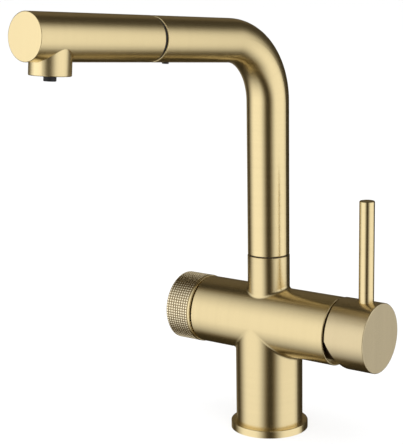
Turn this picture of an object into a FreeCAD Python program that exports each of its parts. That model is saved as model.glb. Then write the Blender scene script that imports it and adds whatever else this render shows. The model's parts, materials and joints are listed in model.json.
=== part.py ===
"""Three way filtered water tap: hot and cold on a lever, filtered water on a knurled knob, pull-out spout.

Frame: +Z up, origin at the centre of the base ring's underside, which stands on the deck. The cross tube
runs along X, with the lever at +X and the filtered water knob at -X. The arm points along -Y, turned by
spout_turn. Sizes are millimetres and angles are degrees.
"""
import FreeCAD, Part
import math
import os
from FreeCAD import Vector

# Base ring and column
flange_width = 3.5
flange_height = 5.0
flange_round = 0.6
flange_lip = 2.4
gasket_inset = 1.7
gasket_width = 3.5
gasket_thickness = 1.3
column_step = 0.15
column_wall = 3.0

# Cross tube and neck, which are one casting with the column
cross_radius = 22.3
cross_height = 74.6
lever_end = 54.6
mouth_wall = 1.1
mouth_depth = 4.0
filter_end = 48.3
neck_step = 0.2
neck_rise = 44.2
neck_wall = 2.9
junction_fillet = 2.5
neck_fillet = 2.0
edge_bevel = 0.4
edge_round = 0.6

# Inlet block, with its threaded sockets on one circle round the hose
block_bottom = 40.0
block_thickness = 14.0
socket_circle = 13.6
socket_radius = 4.5
socket_depth = 11.0
mixer_port_angle = 52.0
filter_port_angle = 152.0
stud_angle = 102.0
stud_hole_radius = 3.4
stud_hole_depth = 12.0
mixer_way_radius = 3.0
filter_way_radius = 2.5
hose_passage_clearance = 0.2

# Swivel between the neck and the riser
swivel_gap = 0.6
washer_inset = 0.7
insert_bore_step = 0.3
insert_depth = 26.8
insert_grip = 11.6
ring_depths = (20.8, 5.8)
ring_section = 0.93
ring_groove = 1.9
swivel_screw_depth = 13.3
swivel_screw_radius = 2.0
swivel_tip_radius = 1.5
swivel_tip_gap = 0.3
swivel_turn_back = 84.5
swivel_turn_on = 95.5

# Spout
tube_radius = 13.7
tube_wall = 1.5
bend_radius = 42.0
arm_height = 258.2
arm_rise = 5.0
spout_turn = -5.5
arm_length = 107.0
seam_gap = 2.0

# Docking sleeve and its snap button
sleeve_length = 25.0
sleeve_fit = 0.08
sleeve_collar_inset = 0.9
sleeve_collar = 1.7
button_setback = 12.4
button_radius = 2.05
button_head_radius = 2.75
button_head = 0.8
button_drop = 0.6
button_proud = 0.8
button_round = 0.4

# Handset
handset_length = 96.4
handset_wall = 1.3
handset_front = 2.0
boss_radius = 12.0
boss_depth = 21.0
boss_wall = 1.3
boss_from_front = 19.1
boss_line_width = 0.35
boss_line_depth = 0.4
spigot_tail = 22.0
spigot_grip = 25.0
spigot_wall = 1.52
spigot_shoulder = 0.8

# Hoses and waterways
hose_radius = 6.6
hose_bore = 5.0
hose_foot = 12.0
filter_hose_radius = 3.0
filter_hose_bore = 2.0
union_wall = 0.8
union_foot = 6.0
union_top = 26.0
ferrule_wall = 1.35
ferrule_length = 19.0
hose_washer = 1.0
waterway_radius = 6.5
waterway_wall = 1.3
waterway_inset = 5.0
waterway_bend = 9.0

# Outlet
aerator_top = 8.5
aerator_length = 10.9
aerator_collar = 2.5
aerator_wall = 2.5
plate_thickness = 1.2
plate_hole_radius = 0.6
plate_hole_rings = ((5.2, 12), (7.6, 18))
tip_radius = 3.6
tip_bore = 1.6
tip_depth = 24.0
tip_head_radius = 4.3
tip_head = 3.5
tip_top = 13.5

# Mixer cartridge
cartridge_depth = 37.0
cartridge_radius = 17.3
cartridge_wall = 1.7
cartridge_seal = 1.0
cartridge_base = 5.0
cartridge_base_web = 1.0
cartridge_shoulder_rise = 24.7
turret_radius = 12.5
turret_rise = 31.4
disc_radius = 15.0
disc_thickness = 4.0
moving_disc_radius = 11.0
moving_disc_thickness = 3.5
carrier_radius = 10.6
carrier_thickness = 6.0
hot_cold_rise = 3.0
mixed_drop = 10.0
disc_port_radius = 2.4
disc_port_side = 6.0
disc_port_rise = 2.5
disc_port_drop = 4.5
disc_pocket_radius = 4.4
disc_pocket_depth = 1.5
rotor_rise = 20.0
rotor_flange = 3.2
rotor_length = 13.4
rotor_radius = 10.9
rotor_slot_width = 9.0
rotor_slot_height = 15.2
nut_wall = 3.6
nut_bore = 12.7
nut_mouth = 15.0
nut_proud = 2.9
nut_turret_gap = 1.0

# Lever
pivot_rise = 29.4
ball_arm = 11.5
ball_radius = 2.6
stem_radius = 4.3
stem_neck_radius = 2.2
stem_shoulder = 6.0
stem_inset = 7.15
stem_pin_radius = 1.5
stem_pin_length = 20.0
cap_step = 0.4
cap_gap = 1.5
cap_length = 28.05
cap_wall = 2.5
cap_front = 3.0
cap_hub_radius = 9.5
cap_hub_length = 17.15
cap_relief = 25.0
cap_stem_gap = 1.0
rod_radius = 4.9
rod_inset = 10.35
rod_rise = 87.4
rod_thread_radius = 3.5
lever_screw_radius = 2.5
lever_screw_length = 5.0

# Filtered water valve and its knob
valve_depth = 30.7
valve_radius = 12.9
valve_seal = 0.8
valve_base = 2.0
valve_bore = 9.5
valve_neck_rise = 18.4
valve_head_length = 6.7
valve_head_flats = 27.0
valve_disc_radius = 9.3
valve_disc_thickness = 3.0
valve_port_side = 5.9
valve_slot_width = 4.0
valve_slot_length = 16.0
valve_slot_depth = 1.2
spindle_radius = 5.0
spindle_flange = 3.5
spindle_tip_radius = 4.0
spindle_ring_rise = 27.4
spindle_ring_section = 0.6
knob_step = 0.5
knob_gap = 0.8
knob_length = 19.9
knob_skirt_depth = 10.9
knob_wall = 2.8
knob_hub_radius = 8.0
knob_hub_gap = 1.0
knob_web = 2.3
knob_front = 5.0
knob_recess_radius = 6.2
knob_screw_radius = 1.6
knob_screw_head_radius = 3.4
knob_screw_head = 1.8
knob_screw_key = 2.5
knob_screw_length = 7.0
knob_screw_tip_gap = 1.0
knob_screw_key_floor = 0.6
knob_cap_thickness = 0.8

# Fits, and how far a cutter runs past what it cuts
running = 0.05
loose = 0.1
overrun = 1.0
far = 60.0
tiny = 0.001

# Heights, and radii that follow from one another
neck_top = cross_height + neck_rise
riser_foot = neck_top + swivel_gap
block_top = block_bottom + block_thickness
column_radius = cross_radius - column_step
column_bore = column_radius - column_wall
flange_radius = column_radius + flange_width
gasket_inner_radius = column_bore + gasket_inset
neck_radius = tube_radius + neck_step
tube_bore = tube_radius - tube_wall
union_radius = hose_radius + union_wall
hose_passage_radius = union_radius + hose_passage_clearance
ferrule_radius = hose_radius + ferrule_wall
spigot_radius = ferrule_radius + running + spigot_wall
sleeve_bore = spigot_radius + sleeve_fit
sleeve_collar_radius = tube_radius - sleeve_collar_inset
handset_bore = tube_radius - handset_wall
boss_bore = boss_radius - boss_wall

# Swivel, as heights
insert_radius = neck_radius - neck_wall
insert_bore = hose_passage_radius + insert_bore_step
insert_bottom = neck_top - insert_depth
ring_heights = [neck_top - depth for depth in ring_depths]
swivel_screw_height = neck_top - swivel_screw_depth
washer_radius = neck_radius - washer_inset

# Stations along the arm, from the column's axis
button_station = arm_length - button_setback
button_seat = tube_bore - button_drop
handset_start = arm_length + seam_gap
handset_end = handset_start + handset_length
hose_end = handset_start - hose_washer
waterway_start = handset_start + waterway_inset
outlet_station = handset_end - boss_from_front

# Stations along the cross tube towards the lever, from the column's axis
cartridge_bore = cartridge_radius - cartridge_wall
cartridge_floor = lever_end - cartridge_depth
seal_end = cartridge_floor + cartridge_seal
base_end = seal_end + cartridge_base
disc_end = base_end + disc_thickness
moving_disc_end = disc_end + moving_disc_thickness
rotor_bottom = cartridge_floor + rotor_rise
rotor_end = rotor_bottom + rotor_length
cartridge_shoulder = cartridge_floor + cartridge_shoulder_rise
pivot_station = cartridge_floor + pivot_rise
turret_end = cartridge_floor + turret_rise
nut_radius = cross_radius - nut_wall
nut_end = lever_end + nut_proud
cap_radius = cross_radius + cap_step
cap_start = lever_end + cap_gap
cap_end = cap_start + cap_length
cap_hub_start = cap_end - cap_front - cap_hub_length
stem_neck_end = pivot_station - stem_shoulder
stem_end = cap_end - stem_inset
rod_station = cap_end - rod_inset
rod_top = cross_height + rod_rise

# Stations along the cross tube towards the knob, from the column's axis
valve_floor = filter_end - valve_depth
valve_seal_end = valve_floor + valve_seal
valve_base_end = valve_seal_end + valve_base
valve_disc_end = valve_base_end + valve_disc_thickness
valve_mover_end = valve_disc_end + valve_disc_thickness
spindle_flange_end = valve_mover_end + spindle_flange
valve_neck_start = valve_floor + valve_neck_rise
spindle_ring_station = valve_floor + spindle_ring_rise
valve_head_end = filter_end + valve_head_length
knob_radius = cross_radius + knob_step
knob_start = filter_end + knob_gap
knob_end = knob_start + knob_length
spindle_end = knob_end - knob_front

up = Vector(0, 0, 1)
forward = Vector(math.sin(math.radians(spout_turn)), -math.cos(math.radians(spout_turn)), 0)
arm_direction = forward * math.cos(math.radians(arm_rise)) + up * math.sin(math.radians(arm_rise))


def frame(origin, along, towards=up):
    """Placement whose local z runs along the given direction, with local x turned towards another one."""
    z = Vector(along).normalize()
    x = (Vector(towards) - z * z.dot(towards)).normalize()
    return FreeCAD.Placement(origin, FreeCAD.Rotation(x, z.cross(x), z, "ZXY"))


deck = FreeCAD.Placement()
lever_side = frame(Vector(0, 0, cross_height), Vector(1, 0, 0))
filter_side = frame(Vector(0, 0, cross_height), Vector(-1, 0, 0))
arm = frame(Vector(0, 0, arm_height), arm_direction)
arm_down = arm.Rotation.multVec(Vector(-1, 0, 0))


def on_arm(station, depth=0.0):
    """Point at a station along the arm's axis, and a depth below that axis."""
    return arm.multVec(Vector(-depth, 0, station))


outlet = frame(on_arm(outlet_station), arm_down, arm_direction)
button_side = frame(on_arm(button_station), arm_down, arm_direction)


def placed(shape, place):
    """Copy of a shape made at the origin, moved to its place."""
    return shape.transformed(place.toMatrix(), True)


def half_section(profile):
    """Flat face through (station, radius) corners. A third number is the radius that rounds its corner."""
    corners = [Vector(radius, 0, station) for station, radius, *rounding in profile]
    joints = []
    for index, (corner, point) in enumerate(zip(corners, profile)):
        if len(point) == 2:
            joints.append((corner, corner, corner))
            continue
        size = point[2]
        before = (corners[index - 1] - corner).normalize()
        after = (corners[(index + 1) % len(corners)] - corner).normalize()
        half = before.getAngle(after) / 2
        setback = size / math.tan(half)
        middle = corner + (before + after).normalize() * (size / math.sin(half) - size)
        joints.append((corner + before * setback, middle, corner + after * setback))
    edges = []
    for (arrive, middle, leave), (following, _, _) in zip(joints, joints[1:] + joints[:1]):
        if arrive != leave:
            edges.append(Part.Arc(arrive, middle, leave).toShape())
        edges.append(Part.LineSegment(leave, following).toShape())
    return Part.Face(Part.Wire(edges))


def turned(profile, place=deck):
    """Turned piece: a half section spun about the local z."""
    return placed(half_section(profile).revolve(Vector(), up, 360), place)


def rod(radius, start, end, place=deck, side=0.0, rise=0.0):
    """Plain cylinder between two stations, offset along local y by side and along local x by rise."""
    return placed(Part.makeCylinder(radius, end - start, Vector(rise, side, start)), place)


def ring(outer, inner, start, end, place=deck):
    """Plain ring between two stations."""
    return turned([(start, inner), (start, outer), (end, outer), (end, inner)], place)


def torus(centre_radius, section, station, place=deck):
    """O-ring at a station."""
    return placed(Part.makeTorus(centre_radius, section, Vector(0, 0, station)), place)


def slot(width, length, start, end, place=deck, middle=0.0):
    """Straight slot cutter: width along local y, length along local x about its middle."""
    corner = Vector(middle - length / 2, -width / 2, start)
    return placed(Part.makeBox(length, width, end - start, corner), place)


def drilled(bottom, top, radius):
    """Cylinder between two points."""
    return Part.makeCylinder(radius, (top - bottom).Length, bottom, top - bottom)


def section(outer, inner, centre, normal):
    """Flat ring, or a disc where inner is 0."""
    wires = [Part.Wire(Part.makeCircle(radius, centre, normal)) for radius in (outer, inner) if radius > 0]
    face = Part.Face(wires[0])
    return face.cut(Part.Face(wires[1])).Faces[0] if len(wires) > 1 else face


def pipe(outer, inner, points, bend):
    """Round pipe along straight runs, with a tangent arc of the bend's radius at each corner."""
    pieces = []
    start = points[0]
    for corner, following in zip(points[1:], points[2:] + [None]):
        direction = (corner - start).normalize()
        if following is None:
            pieces.append(section(outer, inner, start, direction).extrude(corner - start))
            break
        leaving = (following - corner).normalize()
        turn = direction.getAngle(leaving)
        setback = bend * math.tan(turn / 2)
        tangent = corner - direction * setback
        inward = (leaving - direction * direction.dot(leaving)).normalize()
        pieces.append(section(outer, inner, start, direction).extrude(tangent - start))
        bent = section(outer, inner, tangent, direction)
        pieces.append(bent.revolve(tangent + inward * bend, direction.cross(leaving), math.degrees(turn)))
        start = corner + leaving * setback
    return pieces[0].fuse(pieces[1:]).removeSplitter()


def hexagon(flats, start, end, place=deck):
    """Hexagonal bar between two stations."""
    corners = []
    for index in range(7):
        angle = math.radians(60 * index)
        corners.append(Vector(math.cos(angle), math.sin(angle), 0) * (flats / math.sqrt(3)) + up * start)
    return placed(Part.Face(Part.makePolygon(corners)).extrude(up * (end - start)), place)


def grub_screw(radius, start, end, place, tip_radius=None):
    """Headless screw with a hexagonal socket at its outer end."""
    tip = radius if tip_radius is None else tip_radius
    body = turned([(start, 0), (start, tip), (start + radius, radius), (end, radius), (end, 0)], place)
    return body.cut(hexagon(radius, end - radius, end, place))


def at_angle(angle, height):
    """Point on the socket circle."""
    turn = math.radians(angle)
    return Vector(socket_circle * math.cos(turn), socket_circle * math.sin(turn), height)


mixer_ports = {"hot": mixer_port_angle, "cold": -mixer_port_angle}
filter_ports = {"filtered_in": filter_port_angle, "filtered_out": -filter_port_angle}
lever_way = at_angle(mixer_port_angle, cross_height + hot_cold_rise)
valve_way = at_angle(filter_port_angle, cross_height)


# Pieces that stay on the deck

def base_flange():
    groove = gasket_inner_radius + gasket_width
    bore = column_radius + running
    return turned([
        (0, column_bore), (0, gasket_inner_radius), (gasket_thickness, gasket_inner_radius),
        (gasket_thickness, groove), (0, groove), (0, flange_radius),
        (flange_height, flange_radius, flange_round), (flange_height, bore), (flange_lip, bore),
        (flange_lip, column_bore),
    ])


def base_gasket():
    outer = gasket_inner_radius + gasket_width
    return ring(outer - running, gasket_inner_radius + running, 0, gasket_thickness)


def casting_outside():
    """Column, cross tube and neck, joined with the casting's fillets, before anything is bored."""
    column = Part.makeCylinder(column_radius, cross_height - flange_lip, Vector(0, 0, flange_lip))
    cross = Part.makeCylinder(cross_radius, lever_end + filter_end, Vector(-filter_end, 0, cross_height),
                              Vector(1, 0, 0))
    neck = Part.makeCylinder(neck_radius, neck_top - cross_height, Vector(0, 0, cross_height))
    outside = cross.fuse([column, neck]).removeSplitter()
    for low, fillet in ((True, junction_fillet), (False, neck_fillet)):
        saddle = [edge for edge in outside.Edges if edge.Curve.TypeId == "Part::GeomBSplineCurve"
                  and (edge.CenterOfMass.z < cross_height) == low]
        outside = outside.makeFillet(fillet, saddle)
    rims = [edge for edge in outside.Edges if edge.Curve.TypeId == "Part::GeomCircle" and (
        edge.CenterOfMass.x > lever_end - loose or edge.CenterOfMass.x < loose - filter_end
        or edge.CenterOfMass.z > neck_top - loose)]
    return outside.makeFillet(edge_round, rims)


def tap_body():
    cuts = [
        rod(column_bore, 0, block_top),
        rod(hose_passage_radius, block_top - overrun, insert_bottom),
        rod(insert_radius + running, insert_bottom - overrun, neck_top + overrun),
        rod(cartridge_radius + loose, cartridge_floor, lever_end + overrun, lever_side),
        rod(nut_radius + running, cartridge_shoulder, lever_end + overrun, lever_side),
        rod(cross_radius - mouth_wall, lever_end - mouth_depth, lever_end + overrun, lever_side),
        rod(valve_radius + loose, valve_floor, filter_end + overrun, filter_side),
        drilled(Vector(0, neck_radius + overrun, swivel_screw_height), Vector(0, 0, swivel_screw_height),
                swivel_screw_radius + running),
    ]
    for angle in mixer_ports.values():
        corner = at_angle(angle, lever_way.z)
        cuts.append(drilled(at_angle(angle, block_top - overrun), corner, mixer_way_radius))
        cuts.append(drilled(corner, Vector(cartridge_floor + overrun, corner.y, corner.z),
                            mixer_way_radius))
        cuts.append(Part.makeSphere(mixer_way_radius, corner))
    corner = at_angle(0, cross_height - mixed_drop)
    cuts.append(drilled(at_angle(0, block_top - overrun), corner, mixer_way_radius))
    cuts.append(drilled(corner, Vector(cartridge_floor + overrun, 0, corner.z), mixer_way_radius))
    cuts.append(Part.makeSphere(mixer_way_radius, corner))
    for angle in filter_ports.values():
        corner = at_angle(angle, cross_height)
        cuts.append(drilled(at_angle(angle, block_top - overrun), corner, filter_way_radius))
        cuts.append(drilled(corner, Vector(-valve_floor - overrun, corner.y, corner.z),
                            filter_way_radius))
        cuts.append(Part.makeSphere(filter_way_radius, corner))
    return casting_outside().cut(cuts)


def inlet_block():
    block = ring(column_bore - running, hose_passage_radius, block_bottom, block_top)
    cuts = []
    ways = {angle: mixer_way_radius for angle in mixer_ports.values()}
    ways[0.0] = mixer_way_radius
    ways.update({angle: filter_way_radius for angle in filter_ports.values()})
    for angle, way in ways.items():
        cuts.append(drilled(at_angle(angle, block_bottom), at_angle(angle, block_bottom + socket_depth),
                            socket_radius))
        cuts.append(drilled(at_angle(angle, block_bottom), at_angle(angle, block_top), way))
    for angle in (stud_angle, -stud_angle):
        cuts.append(drilled(at_angle(angle, block_bottom), at_angle(angle, block_bottom + stud_hole_depth),
                            stud_hole_radius))
    return block.cut(cuts)


def swivel_washer():
    return ring(washer_radius, insert_radius + loose, neck_top, riser_foot - running)


def swivel_screw():
    tip = insert_radius - ring_groove + swivel_tip_gap
    place = frame(Vector(0, 0, swivel_screw_height), Vector(0, 1, 0))
    shank = insert_radius + 2 * loose
    head = neck_radius - edge_bevel
    body = turned([
        (tip, 0), (tip, swivel_tip_radius), (shank, swivel_tip_radius), (shank, swivel_screw_radius),
        (head, swivel_screw_radius), (head, 0),
    ], place)
    return body.cut(hexagon(swivel_screw_radius, head - swivel_screw_radius / 2, neck_radius, place))


def mixer_port_cuts(start, end, side, rise):
    """Hot, cold and mixed holes through a disc of the cartridge, at the casting's ports."""
    return [rod(mixer_way_radius, start, end, lever_side, side, rise),
            rod(mixer_way_radius, start, end, lever_side, -side, rise),
            rod(mixer_way_radius, start, end, lever_side, 0, -mixed_drop)]


def cartridge_seal_disc():
    disc = rod(disc_radius, cartridge_floor, seal_end, lever_side)
    cuts = mixer_port_cuts(cartridge_floor - overrun, seal_end + overrun, lever_way.y, hot_cold_rise)
    return disc.cut(cuts)


def gallery(start_side, start_rise, end_side, end_rise):
    """Slot in the cartridge's base that leads one port of the casting to its hole in the discs."""
    low = Vector(start_rise, start_side, seal_end - overrun)
    high = Vector(end_rise, end_side, seal_end - overrun)
    across = (high - low).normalize().cross(up) * disc_port_radius
    corners = [low + across, high + across, high - across, low - across, low + across]
    cutter = Part.Face(Part.makePolygon(corners)).extrude(up * (cartridge_base + 2 * overrun))
    return placed(cutter, lever_side)


def cartridge_base_plate():
    plate = rod(cartridge_bore - running, seal_end, base_end, lever_side)
    side = lever_way.y
    cuts = [gallery(side, hot_cold_rise, disc_port_side, disc_port_rise),
            gallery(-side, hot_cold_rise, -disc_port_side, disc_port_rise),
            gallery(0, -mixed_drop, 0, -disc_port_drop)]
    cuts += mixer_port_cuts(seal_end - overrun, base_end - cartridge_base_web, side, hot_cold_rise)
    return plate.cut(cuts)


def cartridge_housing():
    top = cartridge_shoulder
    return turned([
        (seal_end, cartridge_bore), (seal_end, cartridge_radius), (top, cartridge_radius),
        (top, turret_radius), (turret_end, turret_radius), (turret_end, rotor_radius + loose),
        (rotor_bottom + rotor_flange + loose, rotor_radius + loose),
        (rotor_bottom + rotor_flange + loose, cartridge_bore),
    ], lever_side)


def cartridge_fixed_disc():
    disc = rod(disc_radius, base_end, disc_end, lever_side)
    holes = [rod(disc_port_radius, base_end - overrun, disc_end + overrun, lever_side, side, rise)
             for side, rise in ((disc_port_side, disc_port_rise), (-disc_port_side, disc_port_rise),
                                (0, -disc_port_drop))]
    return disc.cut(holes)


def cartridge_nut():
    return turned([
        (cartridge_shoulder + running, nut_bore), (cartridge_shoulder + running, nut_radius),
        (nut_end - edge_bevel, nut_radius), (nut_end, nut_radius - edge_bevel), (nut_end, nut_mouth),
        (turret_end + nut_turret_gap, nut_mouth), (turret_end + nut_turret_gap, nut_bore),
    ], lever_side)


def filter_valve_seal():
    disc = rod(valve_radius - loose, valve_floor, valve_seal_end, filter_side)
    ways = [rod(filter_way_radius, valve_floor - overrun, valve_seal_end + overrun, filter_side, side)
            for side in (valve_way.y, -valve_way.y)]
    return disc.cut(ways)


def filter_valve_body():
    shank = turned([
        (valve_seal_end, 0), (valve_seal_end, valve_radius), (filter_end, valve_radius), (filter_end, 0),
    ], filter_side)
    body = shank.fuse(hexagon(valve_head_flats, filter_end, valve_head_end, filter_side))
    cuts = [rod(valve_bore, valve_base_end, valve_neck_start, filter_side),
            rod(spindle_radius + running, valve_base_end, valve_head_end + overrun, filter_side)]
    ways = [rod(filter_way_radius, valve_seal_end - overrun, valve_base_end + overrun, filter_side, side)
            for side in (valve_way.y, -valve_way.y)]
    return body.cut(cuts + ways)


def filter_fixed_disc():
    disc = rod(valve_disc_radius, valve_base_end, valve_disc_end, filter_side)
    way = filter_way_radius - loose
    return disc.cut([rod(way, valve_base_end - overrun, valve_disc_end + overrun, filter_side, side)
                     for side in (valve_port_side, -valve_port_side)])


def spindle_bush():
    return ring(valve_bore - running, spindle_radius + loose, spindle_flange_end + loose, valve_neck_start,
                filter_side)


# Spout, which swivels on the neck

def spout_tube():
    points = [Vector(0, 0, riser_foot), Vector(0, 0, arm_height), on_arm(arm_length)]
    tube = pipe(tube_radius, tube_bore, points, bend_radius)
    rims = [edge for edge in tube.Edges if edge.Curve.TypeId == "Part::GeomCircle"
            and abs(edge.Curve.Radius - tube_radius) < tiny and edge.isClosed()
            and min((edge.CenterOfMass - points[0]).Length, (edge.CenterOfMass - points[2]).Length) < tiny]
    tube = tube.makeFillet(edge_round, rims)
    return tube.cut(rod(button_radius + running, 0, tube_radius + overrun, button_side))


def swivel_insert():
    groove = insert_radius - ring_groove
    profile = [(insert_bottom, insert_bore), (insert_bottom, insert_radius)]
    for height in ring_heights:
        low = height - ring_section - loose
        high = height + ring_section + loose
        profile += [(low, insert_radius), (low, groove), (high, groove), (high, insert_radius)]
    profile += [(riser_foot, insert_radius), (riser_foot, tube_bore - running),
                (riser_foot + insert_grip, tube_bore - running), (riser_foot + insert_grip, insert_bore)]
    insert = turned(profile)
    spare = math.degrees(math.asin((swivel_tip_radius + loose) / groove))
    half = swivel_tip_radius + loose
    outer = insert_radius + overrun
    points = [Vector(radius, 0, swivel_screw_height + rise)
              for radius, rise in ((groove, -half), (outer, -half), (outer, half), (groove, half))]
    face = Part.Face(Part.makePolygon(points + points[:1]))
    face.rotate(Vector(), up, 90 - swivel_turn_on - spare)
    return insert.cut(face.revolve(Vector(), up, swivel_turn_on + swivel_turn_back + 2 * spare))


def swivel_o_rings():
    centre = insert_radius - ring_section
    return Part.makeCompound([torus(centre, ring_section, height) for height in ring_heights])


def docking_sleeve():
    start = arm_length - sleeve_length
    sleeve = turned([
        (start, sleeve_bore), (start, tube_bore - running), (arm_length, tube_bore - running),
        (arm_length, sleeve_collar_radius), (arm_length + sleeve_collar, sleeve_collar_radius),
        (arm_length + sleeve_collar, sleeve_bore),
    ], arm)
    return sleeve.cut(rod(button_head_radius + loose, 0, tube_bore, button_side))


def snap_button():
    seat = button_seat
    end = tube_radius + button_proud
    return turned([
        (seat - button_head, 0), (seat - button_head, button_head_radius), (seat, button_head_radius),
        (seat, button_radius), (end, button_radius, button_round), (end, 0),
    ], button_side)


def hose_union():
    return turned([
        (union_foot, hose_bore), (union_foot, union_radius), (union_top, union_radius),
        (union_top, hose_radius + running), (hose_foot, hose_radius + running), (hose_foot, hose_bore),
    ])


# Handset, which pulls out of the arm with its hose

def handset_shell():
    outside = turned([
        (handset_start, 0), (handset_start, tube_radius, edge_round),
        (handset_end, tube_radius, edge_round), (handset_end, 0),
    ], arm)
    boss = turned([(0, 0), (0, boss_radius), (boss_depth, boss_radius, edge_round), (boss_depth, 0)], outlet)
    line = ring(boss_radius + boss_line_width, boss_radius, 0, tube_radius + overrun, outlet)
    line = line.cut(rod(tube_radius - boss_line_depth, handset_start, handset_end, arm))
    bore = rod(handset_bore, handset_start - overrun, handset_end - handset_front, arm)
    mouth = rod(boss_bore, 0, boss_depth + overrun, outlet)
    return outside.cut(line).fuse(boss).cut([bore, mouth])


def handset_spigot():
    tail = handset_start - spigot_tail
    shoulder = handset_start + spigot_shoulder
    front = shoulder + spigot_grip
    web = handset_start
    return turned([
        (tail, ferrule_radius + running), (tail, spigot_radius - edge_bevel),
        (tail + edge_bevel, spigot_radius), (shoulder, spigot_radius),
        (shoulder, handset_bore - running), (front, handset_bore - running),
        (front, waterway_radius + running), (waterway_start, waterway_radius + running),
        (waterway_start, hose_bore), (web, hose_bore), (web, ferrule_radius + running),
    ], arm)


def hose_ferrule():
    return ring(ferrule_radius, hose_radius + running, hose_end - ferrule_length, hose_end, arm)


def hose_seal():
    return ring(ferrule_radius, hose_bore, hose_end, handset_start, arm)


def pull_out_hose():
    points = [Vector(0, 0, hose_foot), Vector(0, 0, arm_height), on_arm(hose_end)]
    return pipe(hose_radius, hose_bore, points, bend_radius)


def filter_hose():
    points = [Vector(0, 0, union_foot), Vector(0, 0, arm_height), on_arm(waterway_start)]
    return pipe(filter_hose_radius, filter_hose_bore, points, bend_radius)


def mixed_waterway():
    end = aerator_top + aerator_collar
    points = [on_arm(waterway_start + loose), on_arm(outlet_station), on_arm(outlet_station, end)]
    return pipe(waterway_radius, waterway_radius - waterway_wall, points, waterway_bend)


def filter_waterway():
    end = tip_top + tip_head / 2
    points = [on_arm(waterway_start + loose), on_arm(outlet_station), on_arm(outlet_station, end)]
    return pipe(filter_hose_radius, filter_hose_bore, points, waterway_bend)


def aerator_housing():
    outer = boss_bore - running
    end = aerator_top + aerator_length
    groove = aerator_top + aerator_length / 2
    half = ring_section + loose
    return turned([
        (aerator_top, waterway_radius + running), (aerator_top, outer), (groove - half, outer),
        (groove - half, outer - ring_groove), (groove + half, outer - ring_groove),
        (groove + half, outer), (end, outer), (end, outer - aerator_wall),
        (aerator_top + aerator_collar, outer - aerator_wall),
        (aerator_top + aerator_collar, waterway_radius + running),
    ], outlet)


def aerator_o_ring():
    return torus(boss_bore - running - ring_section, ring_section, aerator_top + aerator_length / 2, outlet)


def aerator_plate():
    start = aerator_top + aerator_length
    end = start + plate_thickness
    plate = ring(boss_bore - running, tip_radius + running, start, end, outlet)
    holes = []
    for radius, count in plate_hole_rings:
        for index in range(count):
            turn = 2 * math.pi * index / count
            holes.append(rod(plate_hole_radius, start - overrun, end + overrun, outlet,
                             radius * math.sin(turn), radius * math.cos(turn)))
    return plate.cut(holes)


def filter_outlet_tip():
    return turned([
        (tip_top, filter_hose_radius + running), (tip_top, tip_head_radius),
        (tip_top + tip_head, tip_head_radius), (tip_top + tip_head, tip_radius),
        (tip_depth, tip_radius, edge_bevel), (tip_depth, tip_bore),
        (tip_top + tip_head / 2, tip_bore), (tip_top + tip_head / 2, filter_hose_radius + running),
    ], outlet)


# Mixer lever: the rotor turns, and the stem with the cap tilts in it

def cartridge_rotor():
    flange = cartridge_bore - 3 * loose
    flange_end = rotor_bottom + rotor_flange
    rotor = turned([
        (rotor_bottom, 0), (rotor_bottom, flange), (flange_end, flange), (flange_end, rotor_radius),
        (rotor_end, rotor_radius), (rotor_end, 0),
    ], lever_side)
    way = slot(rotor_slot_width, rotor_slot_height, rotor_bottom - overrun, rotor_end + overrun, lever_side)
    return rotor.cut([way, pin_cylinder(stem_pin_radius, far)])


def pin_cylinder(radius, length):
    """Cylinder across the cartridge at the lever's pivot."""
    low = Vector(pivot_station, -length / 2, cross_height)
    return drilled(low, low + Vector(0, length, 0), radius)


def stem_pin():
    return pin_cylinder(stem_pin_radius, stem_pin_length)


def cartridge_stem():
    ball_station = pivot_station - ball_arm
    shank = turned([
        (ball_station, 0), (ball_station, stem_neck_radius), (stem_neck_end, stem_neck_radius),
        (stem_neck_end, stem_radius), (stem_end, stem_radius), (stem_end, 0),
    ], lever_side)
    ball = Part.makeSphere(ball_radius, Vector(ball_station, 0, cross_height))
    return shank.fuse(ball).cut(pin_cylinder(stem_pin_radius + running, far))


def lever_cap():
    front = cap_end - cap_front
    inner = cap_radius - cap_wall
    socket = stem_end + cap_stem_gap
    body = turned([
        (cap_start, inner), (cap_start, cap_radius, edge_round), (cap_end, cap_radius, edge_round),
        (cap_end, 0), (socket, 0), (socket, stem_radius + running), (cap_hub_start, stem_radius + running),
        (cap_hub_start, cap_hub_radius), (front, cap_hub_radius), (front, inner),
    ], lever_side)
    slope = math.tan(math.radians(cap_relief))
    outside = cap_start - overrun
    corners = [(outside, 0), (cap_start, 0), (cap_start + far * slope, -far), (outside, -far)]
    points = [Vector(station, -far, cross_height + rise) for station, rise in corners]
    relief = Part.Face(Part.makePolygon(points + points[:1])).extrude(Vector(0, 2 * far, 0))
    centre = Vector(rod_station, 0, cross_height)
    cuts = [relief, drilled(centre, centre + up * far, rod_thread_radius + running),
            drilled(centre + up * (cap_hub_radius + overrun), centre + up * far, rod_radius + running),
            drilled(centre, centre - up * far, lever_screw_radius + running)]
    return body.cut(cuts)


def lever_rod():
    place = FreeCAD.Placement(Vector(rod_station, 0, 0), FreeCAD.Rotation())
    foot = cross_height + cap_radius - cap_wall
    return turned([
        (cross_height + stem_radius + loose, 0), (cross_height + stem_radius + loose, rod_thread_radius),
        (foot, rod_thread_radius), (foot, rod_radius), (rod_top, rod_radius, edge_round), (rod_top, 0),
    ], place)


def lever_screw():
    place = frame(Vector(rod_station, 0, cross_height), -up, Vector(1, 0, 0))
    start = stem_radius + running
    return grub_screw(lever_screw_radius, start, start + lever_screw_length, place, lever_screw_radius / 2)


def disc_carrier():
    carrier = rod(carrier_radius, moving_disc_end, moving_disc_end + carrier_thickness, lever_side)
    socket = rod(ball_radius + 2 * loose, pivot_station - ball_arm - ball_radius - loose, far, lever_side)
    return carrier.cut(socket)


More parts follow.
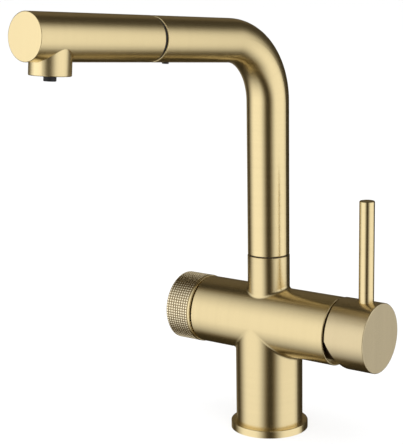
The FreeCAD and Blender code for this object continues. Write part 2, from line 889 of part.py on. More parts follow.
def moving_disc():
    disc = rod(moving_disc_radius, disc_end + running, moving_disc_end, lever_side)
    pocket = rod(disc_pocket_radius, disc_end, disc_end + disc_pocket_depth, lever_side, 0, -disc_port_drop)
    return disc.cut(pocket)


# Filtered water knob, which turns its spindle a quarter turn

def filter_moving_disc():
    disc = rod(valve_disc_radius, valve_disc_end + running, valve_mover_end, filter_side)
    depth = valve_disc_end + valve_slot_depth
    return disc.cut(slot(valve_slot_width, valve_slot_length, valve_disc_end, depth, filter_side))


def filter_spindle():
    groove = spindle_ring_section + loose
    station = spindle_ring_station
    spindle = turned([
        (valve_mover_end, 0), (valve_mover_end, valve_disc_radius), (spindle_flange_end, valve_disc_radius),
        (spindle_flange_end, spindle_radius), (station - groove, spindle_radius),
        (station - groove, spindle_radius - 2 * groove), (station + groove, spindle_radius - 2 * groove),
        (station + groove, spindle_radius), (valve_head_end, spindle_radius),
        (valve_head_end, spindle_tip_radius), (spindle_end, spindle_tip_radius), (spindle_end, 0),
    ], filter_side)
    floor = spindle_end - knob_screw_length
    return spindle.cut(rod(knob_screw_radius, floor, spindle_end + overrun, filter_side))


def spindle_o_ring():
    centre = spindle_radius - spindle_ring_section
    return torus(centre, spindle_ring_section, spindle_ring_station, filter_side)


def filter_knob():
    skirt = knob_start + knob_skirt_depth
    recess = spindle_end + knob_web
    hub = valve_head_end + knob_hub_gap
    return turned([
        (knob_start, knob_radius - knob_wall), (knob_start, knob_radius, edge_round),
        (knob_end, knob_radius, edge_round), (knob_end, knob_recess_radius), (recess, knob_recess_radius),
        (recess, knob_screw_radius + loose), (spindle_end, knob_screw_radius + loose),
        (spindle_end, spindle_tip_radius + running), (hub, spindle_tip_radius + running),
        (hub, knob_hub_radius), (skirt, knob_hub_radius), (skirt, knob_radius - knob_wall),
    ], filter_side)


def knob_screw():
    tip = spindle_end - knob_screw_length + knob_screw_tip_gap
    seat = spindle_end + knob_web
    head = seat + knob_screw_head
    screw = turned([
        (tip, 0), (tip, knob_screw_radius), (seat, knob_screw_radius), (seat, knob_screw_head_radius),
        (head, knob_screw_head_radius), (head, 0),
    ], filter_side)
    return screw.cut(hexagon(knob_screw_key, seat + knob_screw_key_floor, head, filter_side))


def knob_end_cap():
    return turned([
        (knob_end - knob_cap_thickness, 0), (knob_end - knob_cap_thickness, knob_recess_radius - running),
        (knob_end, knob_recess_radius - running), (knob_end, 0),
    ], filter_side)


pieces = (
    base_flange, base_gasket, tap_body, inlet_block, swivel_washer, swivel_screw, cartridge_seal_disc,
    cartridge_base_plate, cartridge_housing, cartridge_fixed_disc, cartridge_nut, filter_valve_seal,
    filter_valve_body, filter_fixed_disc, spindle_bush, spout_tube, swivel_insert, swivel_o_rings,
    docking_sleeve, snap_button, hose_union, handset_shell, handset_spigot, hose_ferrule, hose_seal,
    pull_out_hose, filter_hose, mixed_waterway, filter_waterway, aerator_housing, aerator_o_ring,
    aerator_plate, filter_outlet_tip, cartridge_rotor, stem_pin, cartridge_stem, lever_cap, lever_rod,
    lever_screw, disc_carrier, moving_disc, filter_moving_disc, filter_spindle, spindle_o_ring, filter_knob,
    knob_screw, knob_end_cap,
)

os.makedirs("parts", exist_ok=True)
for make in pieces:
    shape = make()
    name = make.__name__
    sound = shape.isValid() and all(solid.isClosed() for solid in shape.Solids)
    print(name, len(shape.Solids), round(shape.Volume, 1), "sound" if sound else "NOT SOUND")
    shape.exportStep("parts/" + name + ".step")
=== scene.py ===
import json
import math

import bpy
from mathutils import Matrix, Vector


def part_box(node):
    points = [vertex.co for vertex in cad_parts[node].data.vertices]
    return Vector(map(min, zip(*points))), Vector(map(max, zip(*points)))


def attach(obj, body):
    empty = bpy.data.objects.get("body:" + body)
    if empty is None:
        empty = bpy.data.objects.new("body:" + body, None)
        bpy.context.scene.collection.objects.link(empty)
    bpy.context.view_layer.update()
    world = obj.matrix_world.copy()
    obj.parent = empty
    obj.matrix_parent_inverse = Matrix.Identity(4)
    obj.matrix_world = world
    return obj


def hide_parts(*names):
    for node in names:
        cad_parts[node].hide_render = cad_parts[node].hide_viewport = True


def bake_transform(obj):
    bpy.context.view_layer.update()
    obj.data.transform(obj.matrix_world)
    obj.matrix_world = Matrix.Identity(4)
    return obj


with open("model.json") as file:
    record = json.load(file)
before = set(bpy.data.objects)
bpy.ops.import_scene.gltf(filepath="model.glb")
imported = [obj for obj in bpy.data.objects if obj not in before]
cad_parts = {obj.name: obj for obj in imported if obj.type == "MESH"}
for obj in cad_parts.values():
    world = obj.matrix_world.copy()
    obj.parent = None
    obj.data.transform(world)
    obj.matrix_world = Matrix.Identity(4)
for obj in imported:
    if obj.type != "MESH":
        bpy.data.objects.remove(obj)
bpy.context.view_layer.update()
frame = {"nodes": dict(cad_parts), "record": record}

MM = 0.001

# Camera, fitted to the photograph: metres, radians and pixels
CAMERA_PLACE = Vector((0.51856, -0.77796, 0.34119))
CAMERA_YAW = 0.6348
CAMERA_PITCH = 0.2113
CAMERA_ROLL = -0.0155
FOCAL_PIXELS = 1459.9
LONG_SIDE_PIXELS = 444
SENSOR_MM = 36.0
CLIP_START = 0.05
CLIP_END = 30.0

# The tap's own lines
X_AXIS, Y_AXIS, Z_AXIS = Vector((1, 0, 0)), Vector((0, 1, 0)), Vector((0, 0, 1))
ORIGIN = Vector()
CROSS_HEIGHT = 74.6 * MM
CROSS_RADIUS = 22.3 * MM
KNOB_RADIUS = 22.8 * MM
KNURL_DEPTH = 0.5 * MM
CROSS_CENTRE = Z_AXIS * CROSS_HEIGHT
ARM_HEIGHT = 258.2 * MM
ARM_RISE = math.radians(5.0)
SPOUT_TURN = math.radians(-5.5)
BEND_RADIUS = 42.0 * MM
BEND_TURN = math.pi / 2 - ARM_RISE
ARM_ORIGIN = Z_AXIS * ARM_HEIGHT
FORWARD = Vector((math.sin(SPOUT_TURN), -math.cos(SPOUT_TURN), 0))
SIDEWAYS = FORWARD.cross(Z_AXIS)
ARM = FORWARD * math.cos(ARM_RISE) + Z_AXIS * math.sin(ARM_RISE)
BEND_SETBACK = BEND_RADIUS * math.tan(BEND_TURN / 2)
BEND_START = ARM_ORIGIN - Z_AXIS * BEND_SETBACK
BEND_END = ARM_ORIGIN + ARM * BEND_SETBACK
BEND_CENTRE = BEND_START + FORWARD * BEND_RADIUS


# ---------------------------------------------------------------- studio

def place_camera():
    """Camera at the photograph's viewing angle."""
    data = bpy.data.cameras.new("studio_camera")
    data.sensor_width = SENSOR_MM
    data.lens = FOCAL_PIXELS / LONG_SIDE_PIXELS * SENSOR_MM
    data.clip_start = CLIP_START
    data.clip_end = CLIP_END
    camera = bpy.data.objects.new("studio_camera", data)
    bpy.context.scene.collection.objects.link(camera)
    level = math.cos(CAMERA_PITCH)
    back = Vector((math.sin(CAMERA_YAW) * level, -math.cos(CAMERA_YAW) * level, math.sin(CAMERA_PITCH)))
    right = Vector((math.cos(CAMERA_YAW), math.sin(CAMERA_YAW), 0))
    upward = back.cross(right)
    rolled_right = right * math.cos(CAMERA_ROLL) + upward * math.sin(CAMERA_ROLL)
    rolled_up = upward * math.cos(CAMERA_ROLL) - right * math.sin(CAMERA_ROLL)
    turn = Matrix((rolled_right, rolled_up, back)).transposed()
    camera.matrix_world = Matrix.Translation(CAMERA_PLACE) @ turn.to_4x4()
    bpy.context.scene.camera = camera


class Nodes:
    """Short way to add shader nodes and join them."""

    def __init__(self, tree):
        self.tree = tree
        tree.nodes.clear()

    def add(self, kind, **values):
        node = self.tree.nodes.new("ShaderNode" + kind)
        for key, value in values.items():
            if hasattr(node, key):
                setattr(node, key, value)
            else:
                node.inputs[key].default_value = value
        return node

    def join(self, output, socket):
        self.tree.links.new(output, socket)

    def put(self, value, socket):
        """Join an output to the socket, or set the socket to a number or vector."""
        if isinstance(value, bpy.types.NodeSocket):
            self.join(value, socket)
        else:
            socket.default_value = value

    def fed(self, kind, *values, **settings):
        """First output of a node whose first sockets take these numbers, vectors or outputs."""
        node = self.add(kind, **settings)
        for value, socket in zip(values, node.inputs):
            self.put(value, socket)
        return node.outputs[0]

    def math(self, operation, *values):
        return self.fed("Math", *values, operation=operation)

    def dot(self, vector, direction):
        node = self.add("VectorMath", operation="DOT_PRODUCT")
        self.join(vector, node.inputs[0])
        node.inputs[1].default_value = direction
        return node.outputs["Value"]

    def combine(self, x, y, z):
        return self.fed("CombineXYZ", x, y, z)

    def split(self, vector):
        return self.fed("SeparateXYZ", vector).node.outputs

    def smooth(self, value, low, high, start=0.0, end=1.0):
        """Start below low and end above high, with a soft step between them."""
        return self.fed("MapRange", value, low, high, start, end, interpolation_type="SMOOTHSTEP")

    def between(self, value, stops):
        """1 between the two inner stops, falling softly to 0 at the outer ones."""
        return self.math("MULTIPLY", self.smooth(value, *stops[:2]), self.smooth(value, *stops[2:], 1.0, 0.0))

    def scaled(self, value, start, end):
        """A value from 0 to 1 turned into one from start to end."""
        return self.fed("MapRange", value, 0.0, 1.0, start, end)

    def scale(self, vector, amount):
        """Vector times a number's output."""
        output = self.fed("VectorMath", vector, operation="SCALE")
        self.join(amount, output.node.inputs["Scale"])
        return output

    def times(self, vector, amounts):
        """Vector with each of its three numbers times its own amount, or all times the same one."""
        amounts = amounts if isinstance(amounts, tuple) else (amounts,) * 3
        return self.fed("VectorMath", vector, amounts, operation="MULTIPLY")

    def tint(self, factor, first, second):
        """The first colour at 0, turning into the second at 1."""
        node = self.add("Mix", data_type="RGBA")
        self.join(factor, node.inputs[0])
        node.inputs[6].default_value = (*first, 1)
        node.inputs[7].default_value = (*second, 1)
        return node.outputs[2]

    def noise(self, vector, detail=2.0, roughness=0.5):
        node = self.add("TexNoise", Scale=1.0, Detail=detail, Roughness=roughness)
        self.join(vector, node.inputs["Vector"])
        return node.outputs["Fac"]


WHITE = (1, 1, 1)

# Softboxes round the tap, as the metal shows them, in degrees: the azimuth from the camera, the azimuths from
# there and then the elevations at which each one begins, is full, starts to fade and ends, and its radiance
SOFTBOXES = (
    (-65, (-68, -18, 17, 61), (-92, -15, 10, 100), 1.16),
    (65, (-63, -19, 27, 56), (-84, -20, 12, 90), 1.09),
    (180, (-24, -6, 20, 50), (-34, -16, -4, 10), 0.26),
    (180, (-36, -12, 20, 48), (2, 20, 46, 64), 0.12),
)
STUDIO_DARK = 0.035
TABLE_GLOW = 0.07
TABLE_ELEVATIONS = (-75, -45)
FLAG_COLOUR = (1.0, 0.78, 0.42)
FLAG_LIMIT = 0.5
FILL_RADIANCE = 0.75


def light_studio():
    """White surroundings for the camera, and soft boxes between dark flags in what the metal reflects."""
    world = bpy.data.worlds.new("studio")
    bpy.context.scene.world = world
    world.use_nodes = True
    n = Nodes(world.node_tree)
    way = n.add("TexCoord").outputs["Generated"]
    height = n.math("MULTIPLY", n.math("ARCSINE", n.dot(way, Z_AXIS)), math.degrees(1))
    radiance = n.smooth(height, *TABLE_ELEVATIONS, TABLE_GLOW, STUDIO_DARK)
    for azimuth, side_stops, height_stops, brightness in SOFTBOXES:
        turn = CAMERA_YAW + math.radians(azimuth)
        along = n.dot(way, (math.sin(turn), -math.cos(turn), 0))
        across = n.dot(way, (math.cos(turn), math.sin(turn), 0))
        aside = n.math("MULTIPLY", n.math("ARCTAN2", across, along), math.degrees(1))
        box = n.math("MULTIPLY", n.between(aside, side_stops), n.between(height, height_stops))
        radiance = n.math("MAXIMUM", radiance, n.math("MULTIPLY", box, brightness))
    path = n.add("LightPath")
    gloss = n.math("MAXIMUM", path.outputs["Is Glossy Ray"], path.outputs["Is Transmission Ray"])
    warmth = n.tint(n.smooth(radiance, 0.0, FLAG_LIMIT), FLAG_COLOUR, WHITE)
    reflected = n.fed("Background", warmth, radiance)
    shown = n.fed("Background", (*WHITE, 1), 1.0)
    fill = n.fed("Background", (*WHITE, 1), FILL_RADIANCE)
    unreflected = n.fed("MixShader", path.outputs["Is Camera Ray"], fill, shown)
    n.join(n.fed("MixShader", gloss, unreflected, reflected), n.add("OutputWorld").inputs["Surface"])


FLOOR_SIZE = 12.0
FLOOR_PALE = (0.9, 0.9, 0.9)
FLOOR_GLOW = 1.22
FLOOR_GLOW_SHARE = 0.6


def lay_floor():
    """Plain pale floor that keeps a faint shadow."""
    bpy.ops.mesh.primitive_plane_add(size=FLOOR_SIZE)
    floor = bpy.context.object
    floor.name = "studio_floor"
    material = bpy.data.materials.new("pale_floor")
    material.use_nodes = True
    n = Nodes(material.node_tree)
    pale = n.fed("BsdfDiffuse", (*FLOOR_PALE, 1))
    glow = n.fed("Emission", (*WHITE, 1), FLOOR_GLOW)
    n.join(n.fed("MixShader", FLOOR_GLOW_SHARE, pale, glow), n.add("OutputMaterial").inputs["Surface"])
    floor.data.materials.append(material)
    floor.visible_glossy = False


LAMP_PLACE = Vector((0.3, -0.5, 1.6))
LAMP_AIM = Vector((0, 0, 0.1))
LAMP_SIZE = 1.5
LAMP_POWER = 12


def hang_lamp():
    """Square soft lamp overhead for what isn't metal."""
    data = bpy.data.lights.new("overhead_lamp", "AREA")
    data.size = LAMP_SIZE
    data.energy = LAMP_POWER
    lamp = bpy.data.objects.new("overhead_lamp", data)
    bpy.context.scene.collection.objects.link(lamp)
    lamp.location = LAMP_PLACE
    lamp.rotation_mode = "QUATERNION"
    lamp.rotation_quaternion = (LAMP_AIM - LAMP_PLACE).to_track_quat("-Z", "Y")
    lamp.visible_glossy = False


# ---------------------------------------------------------------- finishes

GOLD = (0.84, 0.69, 0.385)
# Darker copy of the gold for the body: painted shade for the dimmer light lower down the tap
BODY_GOLD_PAINTED_SHADE = (0.78, 0.64, 0.36)
# Darker gold on the lever cap's side and a duller, paler gold on its end face: painted shade
CAP_SIDE_PAINTED_SHADE = (0.69, 0.57, 0.345)
CAP_FACE_PAINTED_SHADE = (0.71, 0.61, 0.41)
# Brighter gold on the handset's end face: painted light
HANDSET_FACE_PAINTED_LIGHT = (0.96, 0.79, 0.445)
GOLD_ROUGHNESS = 0.27
CAP_FACE_ROUGHNESS = 0.5
ANISOTROPY = 0.6
BRASS = (0.72, 0.52, 0.25)
# Dark bronze for the cartridge nut: painted shade for the recess in the cross tube's mouth
NUT_RECESS_PAINTED_SHADE = (0.16, 0.11, 0.06)
# Painted shade in the knob's grooves, and a painted highlight on its cushions' crowns
PAINTED_GROOVE_SHADE = (0.36, 0.28, 0.16)
PAINTED_CROWN_HIGHLIGHT = (0.98, 0.86, 0.6)
STEEL = (0.62, 0.61, 0.59)
PALEST = 0.95


def new_finish(name, colour, roughness, metallic=0.0):
    """A material with its shader's plain numbers set, and its nodes."""
    material = bpy.data.materials.new(name)
    material.use_nodes = True
    n = Nodes(material.node_tree)
    shader = n.add("BsdfPrincipled", Roughness=roughness, Metallic=metallic)
    shader.inputs["Base Color"].default_value = (*colour, 1)
    n.join(shader.outputs[0], n.add("OutputMaterial").inputs["Surface"])
    return material, n, shader


def piece_space(n, origin, along, across):
    """Object coordinates turned so that x runs along the piece's axis, y across it and z square to both."""
    turn = Matrix((along, across, along.cross(across)))
    mapping = n.add("Mapping", vector_type="POINT")
    n.join(n.add("TexCoord").outputs["Object"], mapping.inputs["Vector"])
    mapping.inputs["Rotation"].default_value = turn.to_euler()
    mapping.inputs["Location"].default_value = turn @ -origin
    return mapping.outputs[0]


# Brushed lines: lumps to the metre across them and along them, the fine lines' share, how far the lines change
# the colour and the roughness, and their relief as strength and depth
FINE_LINES = (900.0, 10.0, 10.0)
BROAD_LINES = (300.0, 5.0, 5.0)
FINE_SHARE = 0.6
LINE_TINTS = (0.97, 1.03)
LINE_ROUGHNESS = (-0.01, 0.01)
LINE_RELIEF = (0.012, 0.02 * MM)
NOISE_RANGE = (0.3, 0.7)


def emboss(n, shader, height, strength, depth):
    """Relief from a height of 0 to 1, as deep as this in metres."""
    relief = n.add("Bump", Strength=strength, Distance=depth)
    n.join(height, relief.inputs["Height"])
    n.join(relief.outputs[0], shader.inputs["Normal"])


def brush(n, shader, lines, stretch, colour, roughness=GOLD_ROUGHNESS):
    """Brushed lines: the lines vector's x runs across them, and its y and z along them, in metres.

    Highlights are drawn out across the lines, the way that the stretch vector points.
    """
    fine = n.math("MULTIPLY", n.noise(n.times(lines, FINE_LINES)), FINE_SHARE)
    broad = n.math("MULTIPLY", n.noise(n.times(lines, BROAD_LINES)), 1 - FINE_SHARE)
    both = n.math("ADD", fine, broad)
    n.join(n.scale(colour, n.smooth(both, *NOISE_RANGE, *LINE_TINTS)), shader.inputs["Base Color"])
    spread = n.smooth(both, *NOISE_RANGE, *LINE_ROUGHNESS)
    n.join(n.math("ADD", spread, roughness), shader.inputs["Roughness"])
    emboss(n, shader, both, *LINE_RELIEF)
    shader.inputs["Anisotropic"].default_value = ANISOTROPY
    way = n.fed("VectorTransform", stretch, convert_from="OBJECT", convert_to="WORLD")
    n.join(way, shader.inputs["Tangent"])


END_FACE_LIMIT = 0.9


def facing(n, along):
    """1 where the surface faces along the piece's axis, as an end face does."""
    normal = n.add("NewGeometry").outputs["Normal"]
    normal = n.fed("VectorTransform", normal, vector_type="NORMAL", convert_from="WORLD", convert_to="OBJECT")
    return n.math("GREATER_THAN", n.math("ABSOLUTE", n.dot(normal, along)), END_FACE_LIMIT)


def either(n, factor, first, second):
    """The second vector where the factor is 1, else the first."""
    node = n.add("Mix", data_type="VECTOR")
    n.join(factor, node.inputs[0])
    n.put(first, node.inputs[4])
    n.put(second, node.inputs[5])
    return node.outputs[1]


def brushed_turning(name, origin, along, across, colour=GOLD, end_colour=GOLD,
                    end_roughness=GOLD_ROUGHNESS):
    """Lines round the piece's axis on its side, and straight lines on its end faces."""
    material, n, shader = new_finish(name, colour, GOLD_ROUGHNESS, 1.0)
    place = piece_space(n, origin, along, across)
    x, y, z = n.split(place)
    ends = facing(n, along)
    lines = either(n, ends, place, n.combine(y, z, x))
    roughness = n.scaled(ends, GOLD_ROUGHNESS, end_roughness)
    brush(n, shader, lines, either(n, ends, along, across), n.tint(ends, colour, end_colour), roughness)
    return material


# How far off the cross tube's surface its brushing begins to give way and has done so, and how far under the
# crown of the knob's cushions the painted shade is darkest and the painted highlight brightest
CROSS_BLEND = (0.2 * MM, 0.6 * MM)
PAINTED_SHADE_DEPTH = 0.65 * KNURL_DEPTH
PAINTED_HIGHLIGHT_DEPTH = 0.12 * KNURL_DEPTH


def round_cross_tube(n):
    """Place along the cross tube's axis, with its three numbers and the distance from that axis."""
    place = piece_space(n, CROSS_CENTRE, X_AXIS, Y_AXIS)
    x, y, z = n.split(place)
    reach = n.math("SQRT", n.math("ADD", n.math("MULTIPLY", y, y), n.math("MULTIPLY", z, z)))
    return place, x, y, z, reach


def brushed_body():
    """Lines round the cross tube where the surface is on it, and round the column and neck elsewhere."""
    material, n, shader = new_finish("brushed_gold_body_painted_shade", BODY_GOLD_PAINTED_SHADE, GOLD_ROUGHNESS, 1.0)
    place, x, y, z, reach = round_cross_tube(n)
    off = n.math("ABSOLUTE", n.math("SUBTRACT", reach, CROSS_RADIUS))
    upright = n.smooth(off, *CROSS_BLEND)
    lines = either(n, upright, place, n.combine(z, x, y))
    # Brushed in the darker gold, which is painted shade
    brush(n, shader, lines, either(n, upright, X_AXIS, Z_AXIS), BODY_GOLD_PAINTED_SHADE)
    return material


def knurled():
    """Gold cushions on the knob, with painted shade in the grooves between them and a painted highlight on
    their crowns.
    """
    material, n, shader = new_finish("knurl_painted_shade_and_highlight", GOLD, GOLD_ROUGHNESS, 1.0)
    *_, reach = round_cross_tube(n)
    # Colour by depth under the knob's surface: painted shade in the grooves, painted highlight on the crowns
    raised = n.smooth(reach, KNOB_RADIUS - PAINTED_SHADE_DEPTH, KNOB_RADIUS - PAINTED_HIGHLIGHT_DEPTH)
    n.join(n.tint(raised, PAINTED_GROOVE_SHADE, PAINTED_CROWN_HIGHLIGHT), shader.inputs["Base Color"])
    return material


def along_spout(n):
    """Distance along the spout's centre line, out from it in the arm's plane, and sideways, and its angle."""
    place = n.add("TexCoord").outputs["Object"]
    from_centre = n.fed("VectorMath", place, BEND_CENTRE, operation="SUBTRACT")
    ahead, rise, aside = (n.dot(from_centre, way) for way in (FORWARD, Z_AXIS, SIDEWAYS))
    angle = n.math("ARCTAN2", rise, n.math("MULTIPLY", ahead, -1.0))
    angle = n.math("MINIMUM", n.math("MAXIMUM", angle, 0.0), BEND_TURN)
    past = n.dot(n.fed("VectorMath", place, BEND_END, operation="SUBTRACT"), ARM)
    run = n.math("ADD", n.math("MINIMUM", rise, 0.0), n.math("MAXIMUM", past, 0.0))
    run = n.math("ADD", run, n.math("MULTIPLY", angle, BEND_RADIUS))
    out = n.math("ADD", n.math("MULTIPLY", n.math("SINE", angle), rise), -BEND_RADIUS)
    out = n.math("SUBTRACT", out, n.math("MULTIPLY", n.math("COSINE", angle), ahead))
    return run, out, aside, angle


def brushed_tube():
    """Lines round the spout tube, which follow its bend."""
    material, n, shader = new_finish("brushed_gold_tube", GOLD, GOLD_ROUGHNESS, 1.0)
    run, out, aside, angle = along_spout(n)
    ahead = n.scale(FORWARD, n.math("SINE", angle))
    way = n.fed("VectorMath", ahead, n.scale(Z_AXIS, n.math("COSINE", angle)), operation="ADD")
    brush(n, shader, n.combine(run, out, aside), way, GOLD)
    return material


# Lumps to the metre, relief as strength and depth, and how far the colour and the roughness change
MACHINED_GRAIN = 1500.0
MACHINED_CLOUD = 90.0
MACHINED_RELIEF = (0.08, 0.02 * MM)
MACHINED_TINTS = (0.9, 1.08)
MACHINED_SPREAD = (-0.06, 0.08)


def shades(colour, amounts):
    """A darker and a lighter shade of the colour, no paler than a real surface is."""
    return [[min(part * amount, PALEST) for part in colour] for amount in amounts]


def machined(name, colour, roughness):
    """Metal as the lathe leaves it, with a fine even grain."""
    material, n, shader = new_finish(name, colour, roughness, 1.0)
    place = n.add("TexCoord").outputs["Object"]
    grain = n.noise(n.times(place, MACHINED_GRAIN), 3.0)
    cloud = n.noise(n.times(place, MACHINED_CLOUD))
    n.join(n.tint(cloud, *shades(colour, MACHINED_TINTS)), shader.inputs["Base Color"])
    spread = (roughness + change for change in MACHINED_SPREAD)
    n.join(n.smooth(grain, *NOISE_RANGE, *spread), shader.inputs["Roughness"])
    emboss(n, shader, grain, *MACHINED_RELIEF)
    return material


GRAINS_TO_CLOUD = 9
MOULDED_RELIEF = 0.35
MOULDED_TINTS = (0.8, 1.15)
MOULDED_SPREAD = (-0.06, 0.06)


def moulded(name, colour, roughness, grain_size, shine=0.5, depth=0.03 * MM):
    """Plastic, rubber or ceramic with a moulded grain."""
    material, n, shader = new_finish(name, colour, roughness)
    shader.inputs["Specular IOR Level"].default_value = shine
    place = n.add("TexCoord").outputs["Object"]
    scale = 1 / grain_size
    grain = n.noise(n.times(place, scale), 3.0, 0.6)
    cloud = n.noise(n.times(place, scale / GRAINS_TO_CLOUD))
    n.join(n.tint(cloud, *shades(colour, MOULDED_TINTS)), shader.inputs["Base Color"])
    spread = (roughness + change for change in MOULDED_SPREAD)
    n.join(n.smooth(grain, *NOISE_RANGE, *spread), shader.inputs["Roughness"])
    emboss(n, shader, grain, MOULDED_RELIEF, depth)
    return material


# Each hose's radius, its bore's, its foot's height and how far along the arm it ends
HOSE_RADIUS = 6.6 * MM
HOSE_BORE = 5.0 * MM
HOSE_FOOT = 12.0 * MM
HOSE_END = 108.0 * MM
FILTER_LINE_RADIUS = 3.0 * MM
FILTER_LINE_BORE = 2.0 * MM
FILTER_LINE_FOOT = 6.0 * MM
FILTER_LINE_END = 114.0 * MM
# The braid, with painted shade darkening its strands at the edge and a painted sheen making them pale at the
# crown, where they are also smoother
BRAID_STRANDS = 12
BRAID_PITCH = 9.0 * MM
STRAND_BLACK = (0.05, 0.05, 0.052)
STRAND_EDGE_PAINTED_SHADE = (0.012, 0.012, 0.013)
STRAND_CROWN_PAINTED_SHEEN = (0.085, 0.085, 0.09)
STRAND_LIMIT = 0.7
STRAND_ROUGHNESS = (0.65, 0.38)
STRAND_RELIEF = 0.7
RADIUS_TO_STRAND = 12


def braided(name, radius):
    """Nylon braid round a hose: two sets of strands that wind opposite ways and pass over and under."""
    material, n, shader = new_finish(name, STRAND_BLACK, 0.5)
    run, out, aside, _ = along_spout(n)
    round_hose = n.math("MULTIPLY", n.math("ARCTAN2", aside, out), BRAID_STRANDS / 2)
    lead = n.math("MULTIPLY", run, 2 * math.pi / BRAID_PITCH * BRAID_STRANDS / 4)
    one_way = n.math("SINE", n.math("ADD", round_hose, lead))
    other_way = n.math("SINE", n.math("SUBTRACT", round_hose, lead))
    over = n.math("MULTIPLY", one_way, other_way)
    height = n.smooth(n.math("ABSOLUTE", over), 0.0, STRAND_LIMIT)
    # Painted shade where the strands dip at their edges, painted sheen on their crowns
    n.join(n.tint(height, STRAND_EDGE_PAINTED_SHADE, STRAND_CROWN_PAINTED_SHEEN), shader.inputs["Base Color"])
    n.join(n.scaled(height, *STRAND_ROUGHNESS), shader.inputs["Roughness"])
    emboss(n, shader, height, STRAND_RELIEF, radius / RADIUS_TO_STRAND)
    return material


def make_finishes():
    """One finish for each material slot, and one for each way that the gold is brushed."""
    return {
        "brushed_gold": brushed_turning("brushed_gold_upright", ORIGIN, Z_AXIS, X_AXIS),
        "cross": brushed_turning("brushed_gold_cross", CROSS_CENTRE, X_AXIS, Y_AXIS),
        # The cap's side and end face in darker copies of the gold, painted shade
        "cap": brushed_turning("brushed_gold_cap_painted_shade", CROSS_CENTRE, X_AXIS, Y_AXIS, CAP_SIDE_PAINTED_SHADE, CAP_FACE_PAINTED_SHADE,
                               CAP_FACE_ROUGHNESS),
        # The arm's end faces in the brighter gold, which is painted light
        "arm": brushed_turning("brushed_gold_arm_painted_face_light", ARM_ORIGIN, ARM, SIDEWAYS, GOLD, HANDSET_FACE_PAINTED_LIGHT),
        "body": brushed_body(),
        "tube": brushed_tube(),
        "machined_brass": machined("machined_brass", BRASS, 0.34),
        # The nut's dark bronze is painted shade for the recess it sits in
        "nut": machined("nut_painted_recess_shade", NUT_RECESS_PAINTED_SHADE, 0.45),
        # Knob cushions with painted groove shade and crown highlights
        "knurled": knurled(),
        "steel": machined("steel", STEEL, 0.3),
        "seal_rubber": moulded("seal_rubber", (0.022, 0.021, 0.021), 0.62, 0.35 * MM),
        "black_plastic": moulded("black_plastic", (0.014, 0.014, 0.015), 0.45, 0.25 * MM, shine=0.3),
        "ceramic": moulded("ceramic", (0.86, 0.85, 0.8), 0.22, 0.6 * MM, depth=0.004 * MM),
        "white_plastic": moulded("white_plastic", (0.78, 0.78, 0.75), 0.38, 0.3 * MM),
        "hose_sheath": braided("hose_sheath", HOSE_RADIUS),
    }


FINISH_BY_NODE = {
    "tap_body": "body", "spout_tube": "tube", "handset_shell": "arm", "lever_cap": "cap",
    "knob_end_cap": "cross", "cartridge_nut": "nut",
}


def finish_nodes(finishes):
    """Every CAD node gets its own finish, or the one of its slot."""
    slots = {part["node"]: part["material_slot"] for part in frame["record"]["subparts"]}
    for name, node in frame["nodes"].items():
        node.data.materials.clear()
        node.data.materials.append(finishes[FINISH_BY_NODE.get(name, slots[name])])
        for face in node.data.polygons:
            face.use_smooth = True


# ---------------------------------------------------------------- modelled pieces

def select_nothing():
    if bpy.context.object and bpy.context.object.mode != "OBJECT":
        bpy.ops.object.mode_set(mode="OBJECT")
    bpy.ops.object.select_all(action="DESELECT")


WELD_DISTANCE = 0.005 * MM


def lathe(name, profile, sides):
    """Closed turned piece about the cross tube's axis: a circle extruded from one (x, radius) to the next."""
    select_nothing()
    x, radius = profile[0]
    bpy.ops.mesh.primitive_circle_add(vertices=sides, radius=radius, location=(x, 0, CROSS_HEIGHT),
                                      rotation=(0, math.pi / 2, 0))
    piece = bpy.context.object
    piece.name = name
    bpy.ops.object.transform_apply(location=True, rotation=True, scale=True)
    bpy.ops.object.mode_set(mode="EDIT")
    for next_x, next_radius in profile[1:] + profile[:1]:
        bpy.ops.mesh.extrude_region_move(TRANSFORM_OT_translate={"value": (next_x - x, 0, 0)})
        size = next_radius / radius
        bpy.ops.transform.resize(value=(1, size, size), center_override=(next_x, 0, CROSS_HEIGHT))
        x, radius = next_x, next_radius
    bpy.ops.mesh.select_all(action="SELECT")
    bpy.ops.mesh.remove_doubles(threshold=WELD_DISTANCE)
    bpy.ops.mesh.normals_make_consistent(inside=False)
    bpy.ops.mesh.select_mode(type="FACE")
    bpy.ops.mesh.select_all(action="DESELECT")
    bpy.ops.object.mode_set(mode="OBJECT")
    return piece


KNURL_COLUMNS = 9
KNURL_ROWS = 80
KNURL_SLACK = 0.1 * MM
# How far in from the last outline, and how far out from the last face, each step of a cushion goes
CUSHION_STEPS = ((0.2 * MM, 0.0), (0.14 * MM, 0.42 * MM), (0.3 * MM, 0.08 * MM))
# The knob's turned profile: distances from its face at the body or from its far end, and radii
KNOB_PLAIN_RING = 2.3 * MM
KNOB_EDGE = 0.6 * MM
KNOB_ROUNDING = ((0.2, 0.4), (0.6, 0.1))
KNOB_SHOULDER = 0.5 * MM
KNOB_SHOULDER_EDGE = 0.15 * MM
KNOB_CHAMFER = 0.5 * MM
KNOB_WALL = 2.8 * MM
KNOB_SKIRT = 10.9 * MM
KNOB_CAVITY = 4.5 * MM
KNOB_HUB_RADIUS = 8.0 * MM
KNOB_SPINDLE_RADIUS = 4.05 * MM
KNOB_SCREW_RADIUS = 1.7 * MM
KNOB_RECESS_RADIUS = 6.2 * MM
KNOB_RECESS_DEPTH = 2.7 * MM
KNOB_WEB_DEPTH = 5.0 * MM
KNOB_SMOOTH_ANGLE = math.radians(24)


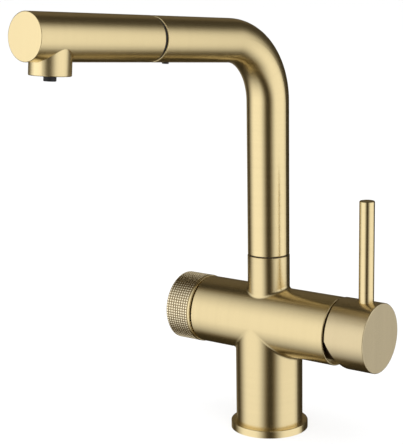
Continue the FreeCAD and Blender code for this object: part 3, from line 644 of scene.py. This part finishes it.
def make_knob(plain, knurl):
    """Filtered water knob: plain ring by the body, then a field of small raised cushions."""
    low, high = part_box("filter_knob")
    start, end = high.x, low.x
    outer = KNOB_RADIUS
    inner = outer - KNOB_WALL
    valley = outer - KNURL_DEPTH
    edge = KNOB_EDGE
    first = start - KNOB_PLAIN_RING
    last = end + edge
    columns = [first + (last - first) * step / KNURL_COLUMNS for step in range(KNURL_COLUMNS + 1)]
    skirt = start - KNOB_SKIRT
    hub_start = skirt + KNOB_CAVITY
    recess = end + KNOB_RECESS_DEPTH
    web = end + KNOB_WEB_DEPTH
    profile = [(start, inner), (start, outer - edge)]
    profile += [(start - back * edge, outer - down * edge) for back, down in KNOB_ROUNDING]
    profile += [(start - edge, outer), (first + KNOB_SHOULDER, outer),
                (first + KNOB_SHOULDER_EDGE, outer - KNOB_SHOULDER_EDGE)]
    profile += [(column, valley) for column in columns]
    profile += [(end, valley - KNOB_CHAMFER), (end, KNOB_RECESS_RADIUS), (recess, KNOB_RECESS_RADIUS),
                (recess, KNOB_SCREW_RADIUS), (web, KNOB_SCREW_RADIUS), (web, KNOB_SPINDLE_RADIUS),
                (hub_start, KNOB_SPINDLE_RADIUS), (hub_start, KNOB_HUB_RADIUS), (skirt, KNOB_HUB_RADIUS),
                (skirt, inner)]
    knob = lathe("knurled_knob", profile, KNURL_ROWS)
    knob.data.materials.append(plain)
    # The cushions' finish carries painted groove shade and crown highlights
    knob.data.materials.append(knurl)
    for face in knob.data.polygons:
        reach = math.hypot(face.center.y, face.center.z - CROSS_HEIGHT)
        face.select = last < face.center.x < first and reach > valley - KNURL_SLACK
        face.material_index = int(face.select)
    bpy.ops.object.mode_set(mode="EDIT")
    for thickness, depth in CUSHION_STEPS:
        bpy.ops.mesh.inset(thickness=thickness, depth=depth, use_individual=True)
    bpy.ops.object.mode_set(mode="OBJECT")
    bpy.ops.object.shade_smooth_by_angle(angle=KNOB_SMOOTH_ANGLE)
    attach(knob, "filter_control")
    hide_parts("filter_knob")


HOSE_HANDLE = 10.0 * MM
HOSE_STEPS = 30
HOSE_BEVEL_STEPS = 8
HOSE_SMOOTH_ANGLE = math.radians(40)


def make_hose(name, node, foot, end, radius, bore, finish):
    """Hose up the riser, round the bend and along the arm."""
    select_nothing()
    bpy.ops.curve.primitive_bezier_curve_add()
    line = bpy.context.object
    spline = line.data.splines[0]
    spline.bezier_points.add(2)
    bend_handle = BEND_RADIUS * 4 / 3 * math.tan(BEND_TURN / 4)
    stops = [
        (Z_AXIS * foot, Z_AXIS, HOSE_HANDLE, HOSE_HANDLE), (BEND_START, Z_AXIS, HOSE_HANDLE, bend_handle),
        (BEND_END, ARM, bend_handle, HOSE_HANDLE), (ARM_ORIGIN + ARM * end, ARM, HOSE_HANDLE, HOSE_HANDLE),
    ]
    for point, (place, way, before, after) in zip(spline.bezier_points, stops):
        point.handle_left_type = point.handle_right_type = "FREE"
        point.co = place
        point.handle_left = place - way * before
        point.handle_right = place + way * after
    line.data.dimensions = "3D"
    line.data.resolution_u = HOSE_STEPS
    line.data.bevel_depth = radius
    line.data.bevel_resolution = HOSE_BEVEL_STEPS
    bpy.ops.object.convert(target="MESH")
    hose = bpy.context.object
    hose.name = name
    wall = hose.modifiers.new("wall", "SOLIDIFY")
    wall.thickness = radius - bore
    wall.offset = -1
    bpy.ops.object.modifier_apply(modifier=wall.name)
    bpy.ops.object.shade_smooth_by_angle(angle=HOSE_SMOOTH_ANGLE)
    hose.data.materials.clear()
    hose.data.materials.append(finish)
    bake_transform(hose)
    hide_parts(node)


# ---------------------------------------------------------------- the tap

finishes = make_finishes()
finish_nodes(finishes)
make_knob(finishes["cross"], finishes["knurled"])
make_hose("pull_out_hose_braided", "pull_out_hose", HOSE_FOOT, HOSE_END, HOSE_RADIUS, HOSE_BORE,
          finishes["hose_sheath"])
make_hose("filter_hose_line", "filter_hose", FILTER_LINE_FOOT, FILTER_LINE_END, FILTER_LINE_RADIUS,
          FILTER_LINE_BORE, finishes["white_plastic"])

place_camera()
light_studio()
lay_floor()
hang_lamp()

bpy.context.scene.view_settings.view_transform = "Standard"
bpy.context.scene.cycles.denoising_input_passes = "RGB"
